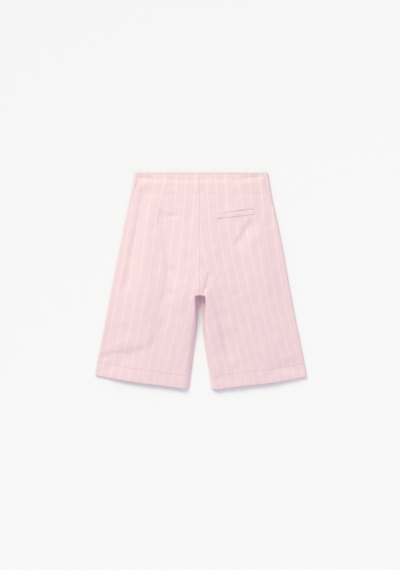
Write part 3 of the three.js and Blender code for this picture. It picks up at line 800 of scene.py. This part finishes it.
welt_outer = np.zeros((*WELT_POINTS, 3))
welt_cut = np.zeros((*WELT_POINTS, 2))
for i, u in enumerate(np.linspace(-half_length, half_length, WELT_POINTS[0])):
    ends = 1 - smooth(half_length - WELT_PAD_ENDS, half_length, abs(u))
    for k, v in enumerate(np.linspace(-half_width, half_width, WELT_POINTS[1])):
        welt_outer[i, k] = on_welt(u, v, WELT_PAD * ends * (1 - (v / half_width) ** 2))
        welt_cut[i, k] = (0.5 + v / STRIPE_PITCH, u / STRIPE_PITCH)
welt_thick = np.full(WELT_POINTS, WELT["thick"])
welt = cloth_wall("back_pocket_welt_cloth", welt_outer, welt_thick, welt_cut, 1)
welt.data.materials.append(rose_cloth)
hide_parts("back_pocket_welt")


# Fly strip
# A single layer behind the centre front opening. It lies inside and doesn't show from above.
FLY = {"length": 165, "width": 36, "below_waist": 2, "floor": 1.5, "thick": 1.0, "round": 12}
FLY_POINTS = (40, 13)
fly_outer = np.zeros((*FLY_POINTS, 3))
fly_cut = np.zeros((*FLY_POINTS, 2))
for i, v in enumerate(np.linspace(0, FLY["length"], FLY_POINTS[0])):
    narrow = max(0, v - (FLY["length"] - FLY["round"])) / FLY["round"]
    left_edge = -FLY["width"] / 2 + FLY["round"] * (1 - math.sqrt(max(0, 1 - narrow**2)))
    for k, x in enumerate(np.linspace(left_edge, FLY["width"] / 2, FLY_POINTS[1])):
        fly_outer[i, k] = (x, -v - FLY["below_waist"], FLY["floor"] + FLY["thick"])
        fly_cut[i, k] = (x / STRIPE_PITCH, v / STRIPE_PITCH)
fly_thick = np.full(FLY_POINTS, FLY["thick"])
fly_strip = cloth_wall("fly_strip_cloth", fly_outer, fly_thick, fly_cut, 1)
fly_strip.data.materials.append(rose_cloth)
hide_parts("fly_strip")


# Stitching
# Matched thread: the hem's blind stitches, the bar tacks that hold the ends of the welt and of the side
# pockets' mouths, and the curved row on the left front that holds the fly strip.
THREAD_ROSE = (0.81, 0.60, 0.62)
THREAD_DEEP = (0.73, 0.50, 0.53)
THREAD = 0.3  # its thickness
STRAND_SCALE = 4200
THREAD_ABOVE = 0.02  # the table, at the least
PICK_LENGTH = 1.5
HEM_LINE = {"clear": 4, "points": 160}  # clear of the inseam
TACK = {"spacing": 1.1, "length": 1.7, "rows": 2, "apart": 0.5, "from_end": 0.5, "from_edge": 0.4}
SIDE_POCKET = (28, 157)  # down to the ends of its mouth, in the side seam
SIDE_TACK_REACH = 3.2  # to each side of the seam
FLY_ROW = {"across": 33, "from": 5, "turn_at": 122, "turn": 30, "spacing": 3.0, "length": 2.3}


def thread_material():
    thread = Nodes("rose_thread")
    place = thread.add("ShaderNodeTexCoord")["Object"]
    strand = thread.noise(place, STRAND_SCALE, STRAND_SCALE)
    colour = thread.mix(thread.ramp(strand, 0.3, 0.7), THREAD_DEEP, THREAD_ROSE)
    thread.feed(thread.shader.inputs["Base Color"], colour)
    bump = thread.add("ShaderNodeBump", None, Strength=0.4, Distance=0.0001, Height=strand)
    thread.feed(thread.shader.inputs["Normal"], bump[0])
    thread.shader.inputs["Roughness"].default_value = 0.6
    return thread.material


FUNCTION_NODES = ("AlignRotationToVector", "RandomValue")


def stitch_tree():
    """Stitches along a line: round-ended lengths of thread, a little uneven."""
    tree = bpy.data.node_groups.new("stitch_row", "GeometryNodeTree")
    tree.is_modifier = True
    tree.interface.new_socket("Line", in_out="INPUT", socket_type="NodeSocketGeometry")
    for label in ("Spacing", "Length", "Thread"):
        tree.interface.new_socket(label, in_out="INPUT", socket_type="NodeSocketFloat")
    tree.interface.new_socket("Material", in_out="INPUT", socket_type="NodeSocketMaterial")
    tree.interface.new_socket("Stitches", in_out="OUTPUT", socket_type="NodeSocketGeometry")

    def node(kind, values=None, **settings):
        made = tree.nodes.new("FunctionNode" + kind if kind in FUNCTION_NODES else "GeometryNode" + kind)
        for key, value in settings.items():
            setattr(made, key, value)
        for label, value in (values or {}).items():
            next(s for s in made.inputs if s.name == label and s.enabled).default_value = value
        return made

    given = tree.nodes.new("NodeGroupInput").outputs
    result = tree.nodes.new("NodeGroupOutput").inputs
    line = node("MeshToCurve")
    points = node("CurveToPoints", mode="LENGTH")
    stitch = node("MeshUVSphere", {"Segments": 6, "Rings": 4, "Radius": 0.5})
    turn = node("AlignRotationToVector", axis="Z")
    uneven = node("RandomValue", {"Min": 0.8, "Max": 1.2, "Seed": 7}, data_type="FLOAT")
    length = tree.nodes.new("ShaderNodeMath")
    length.operation = "MULTIPLY"
    size = tree.nodes.new("ShaderNodeCombineXYZ")
    laid = node("InstanceOnPoints")
    real = node("RealizeInstances")
    dyed = node("SetMaterial")
    for source, target in (
        (given["Line"], line.inputs["Mesh"]),
        (line.outputs["Curve"], points.inputs["Curve"]),
        (given["Spacing"], points.inputs["Length"]),
        (points.outputs["Tangent"], turn.inputs["Vector"]),
        (given["Length"], length.inputs[0]),
        (next(s for s in uneven.outputs if s.enabled), length.inputs[1]),
        (given["Thread"], size.inputs["X"]),
        (given["Thread"], size.inputs["Y"]),
        (length.outputs[0], size.inputs["Z"]),
        (points.outputs["Points"], laid.inputs["Points"]),
        (stitch.outputs["Mesh"], laid.inputs["Instance"]),
        (turn.outputs["Rotation"], laid.inputs["Rotation"]),
        (size.outputs["Vector"], laid.inputs["Scale"]),
        (laid.outputs["Instances"], real.inputs["Geometry"]),
        (real.outputs["Geometry"], dyed.inputs["Geometry"]),
        (given["Material"], dyed.inputs["Material"]),
        (dyed.outputs["Geometry"], result["Stitches"]),
    ):
        tree.links.new(source, target)
    return tree


stitch_row = stitch_tree()
rose_thread = thread_material()


def sew(name, lines, spacing, length):
    """Sews stitches along lines of points, all in one piece."""
    points, edges = [], []
    for line in lines:
        edges += [(len(points) + i, len(points) + i + 1) for i in range(len(line) - 1)]
        points += list(line)
    mesh = bpy.data.meshes.new(name)
    mesh.from_pydata(to_row_frame(np.array(points)).tolist(), edges, [])
    row = bpy.data.objects.new(name, mesh)
    bpy.context.collection.objects.link(row)
    sewing = row.modifiers.new("sewing", "NODES")
    sewing.node_group = stitch_row
    inputs = {"Spacing": spacing * MM, "Length": length * MM, "Thread": THREAD * MM}
    for label, value in {**inputs, "Material": rose_thread}.items():
        sewing[stitch_row.interface.items_tree[label].identifier] = value
    sewn = row.evaluated_get(bpy.context.evaluated_depsgraph_get())
    row.data = bpy.data.meshes.new_from_object(sewn)
    row.modifiers.remove(sewing)
    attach(row, "root")


def on_cloth(side, down, along):
    """Points on the outer side of the cloth, half sunk in it."""
    points = Row(side, down).ring(np.atleast_1d(along))
    points[:, 2] = np.maximum(points[:, 2] + THREAD * 0.2, THREAD / 2 + THREAD_ABOVE)
    return points


def hem_line(side):
    """Once round the leg, from a dent of the first stitch by the inseam."""
    hem = Row(side, LEGS[side]["inner_down"] - HEM_DEPTH)
    first_dent = PICK_SPACING * math.ceil((hem.inner_across + HEM_LINE["clear"]) / PICK_SPACING)
    start = first_dent - hem.inner_across + hem.inseam_arc - hem.inseam_radius
    return on_cloth(side, hem.down, np.linspace(start, 2 * hem.over - start, HEM_LINE["points"]))


sew("hem_stitches", [hem_line("left"), hem_line("right")], PICK_SPACING, PICK_LENGTH)


def welt_end(u):
    """Close rows across an end of the welt."""
    reach = half_width - TACK["from_edge"]
    rows = []
    for k in range(TACK["rows"]):
        at = u + math.copysign(k * TACK["apart"], -u)
        rows.append(np.array([on_welt(at, v, THREAD * 0.3) for v in np.linspace(-reach, reach, 12)]))
    return rows


def seam_end(side, down):
    """Close rows across the side seam, at an end of the side pocket's mouth."""
    seam = Row(side, down).seam
    across = np.linspace(seam - SIDE_TACK_REACH, seam + SIDE_TACK_REACH, 9)
    return [on_cloth(side, down + k * TACK["apart"], across) for k in range(TACK["rows"])]


tacks = welt_end(TACK["from_end"] - half_length) + welt_end(half_length - TACK["from_end"])
for side in LEGS:
    for down in SIDE_POCKET:
        tacks += seam_end(side, down)
sew("bar_tacks", tacks, TACK["spacing"], TACK["length"])

fly_row = [(-FLY_ROW["across"], -v) for v in np.linspace(FLY_ROW["from"], FLY_ROW["turn_at"], 24)]
for turned in np.linspace(0, math.pi / 2, 14)[1:]:
    x = -FLY_ROW["across"] + FLY_ROW["turn"] * (1 - math.cos(turned))
    fly_row.append((x, -FLY_ROW["turn_at"] - FLY_ROW["turn"] * math.sin(turned)))
fly_row = np.array([(x, y, THREAD / 2 + THREAD_ABOVE) for x, y in fly_row])
sew("fly_stitches", [fly_row], FLY_ROW["spacing"], FLY_ROW["length"])
